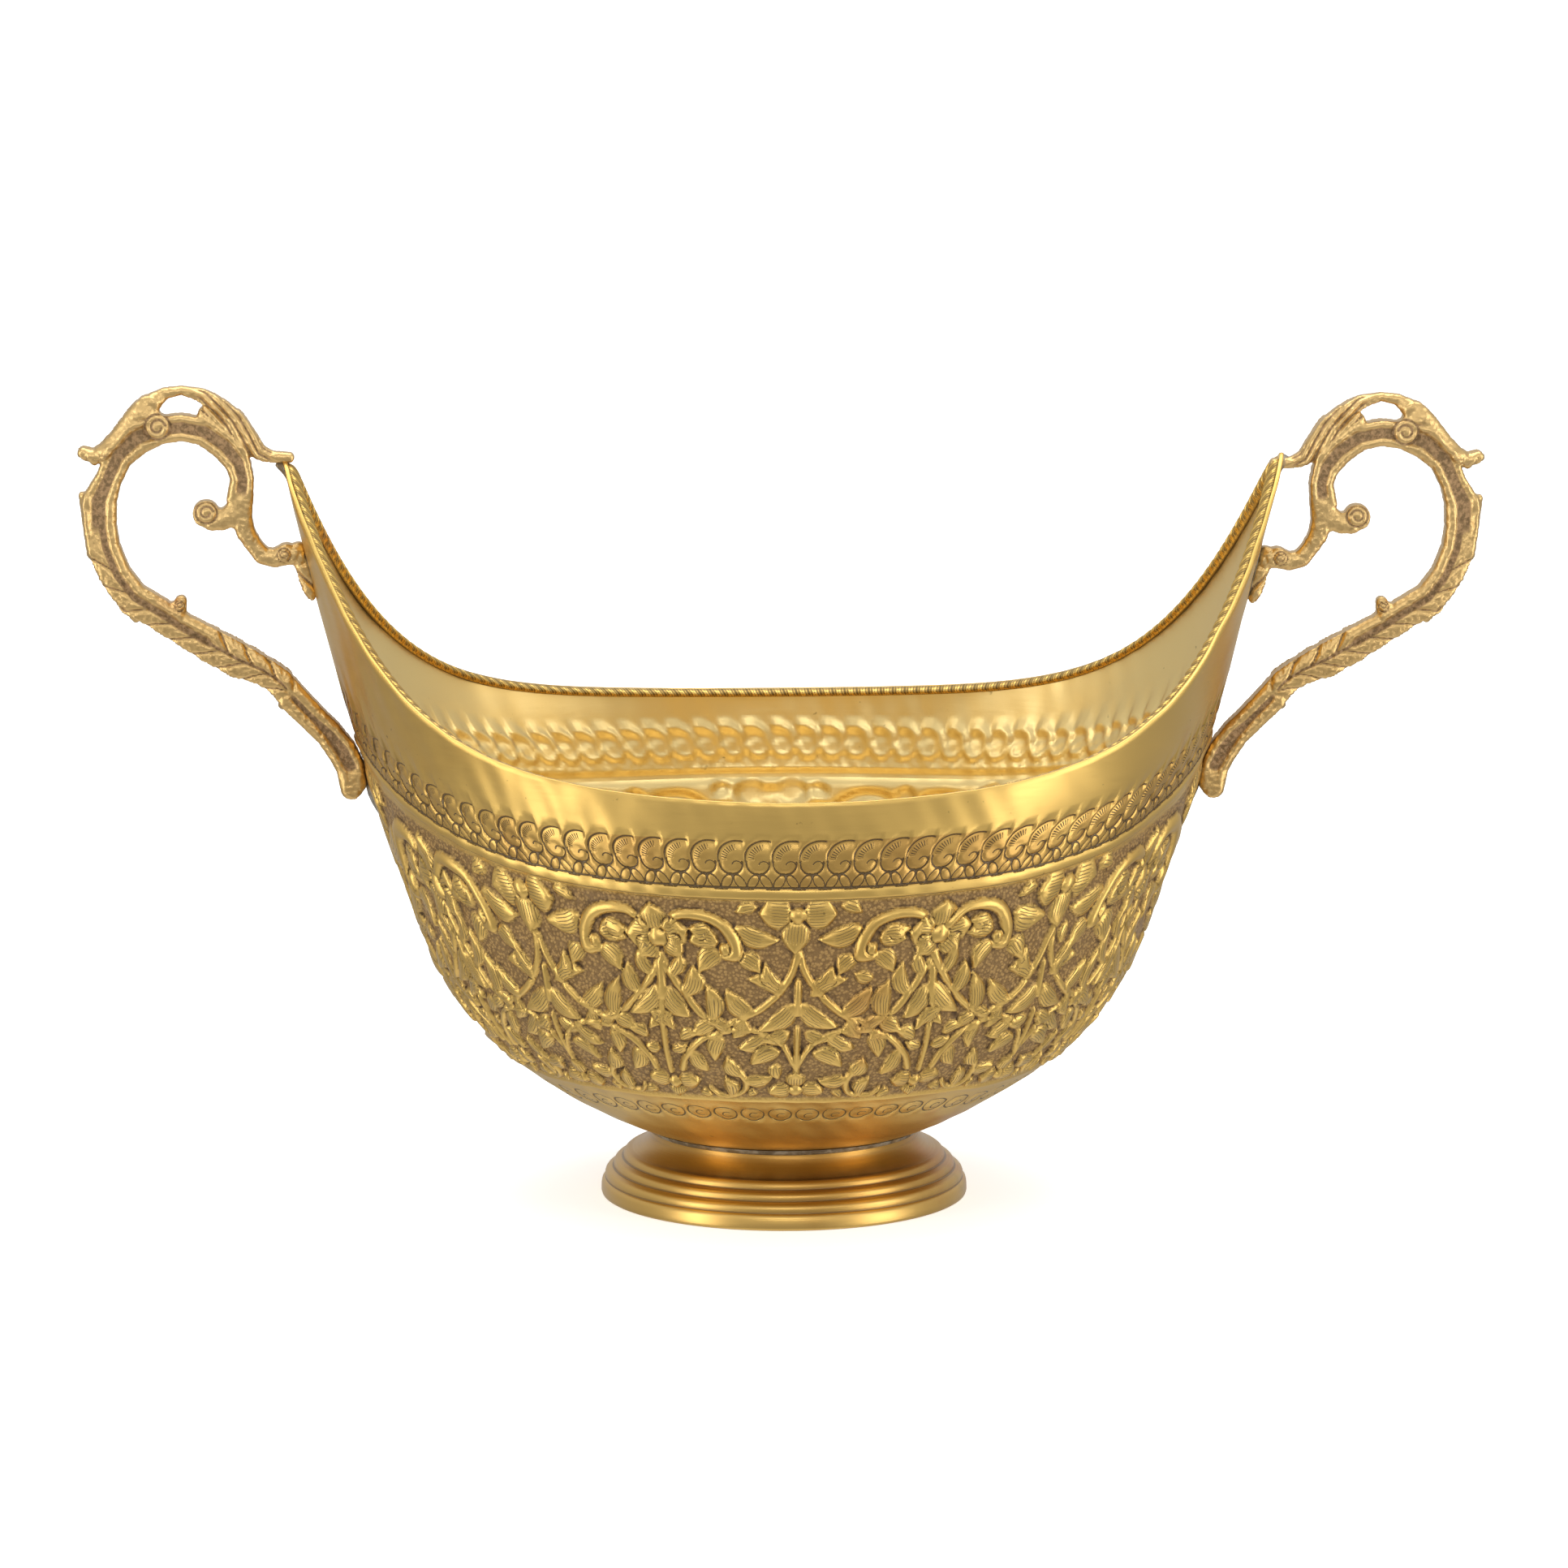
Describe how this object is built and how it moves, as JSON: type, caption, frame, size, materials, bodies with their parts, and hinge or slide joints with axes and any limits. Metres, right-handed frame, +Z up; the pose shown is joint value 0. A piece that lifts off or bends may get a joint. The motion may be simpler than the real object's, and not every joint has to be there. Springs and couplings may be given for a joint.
{
  "type": "footed brass bowl",
  "caption": "Oval footed bowl of chased sheet brass with upswept pointed ends, a roped rim and cast scroll handles; holds fruit, flowers or floating lamps.",
  "frame": {"origin": "centre of the foot's base, on the surface that the bowl stands on", "axes": "+X along the bowl's length from handle to handle, +Y across the bowl, +Z up out of the mouth"},
  "size_m": [0.3764, 0.1822, 0.2208],
  "materials": {
    "chased_brass": "satin, aged, dark patina in the chased recesses",
    "rope_brass": "worn bright on top, dark in the grooves",
    "turned_brass": "satin, turned, dark in the grooves",
    "cast_brass": "cast, bright on the raised leaves, brown in the recesses",
    "solder": "dull grey soft solder"
  },
  "bodies": {
    "root": {"bowl_shell": "chased_brass", "rim_wire_front": "rope_brass", "rim_wire_back": "rope_brass", "foot": "turned_brass", "handle_left": "cast_brass", "handle_right": "cast_brass", "solder_tip_left": "solder", "solder_tip_right": "solder", "solder_pad_left": "solder", "solder_pad_right": "solder", "solder_tail_left": "solder", "solder_tail_right": "solder", "solder_foot_seam": "solder"}
  },
  "joints": []
}
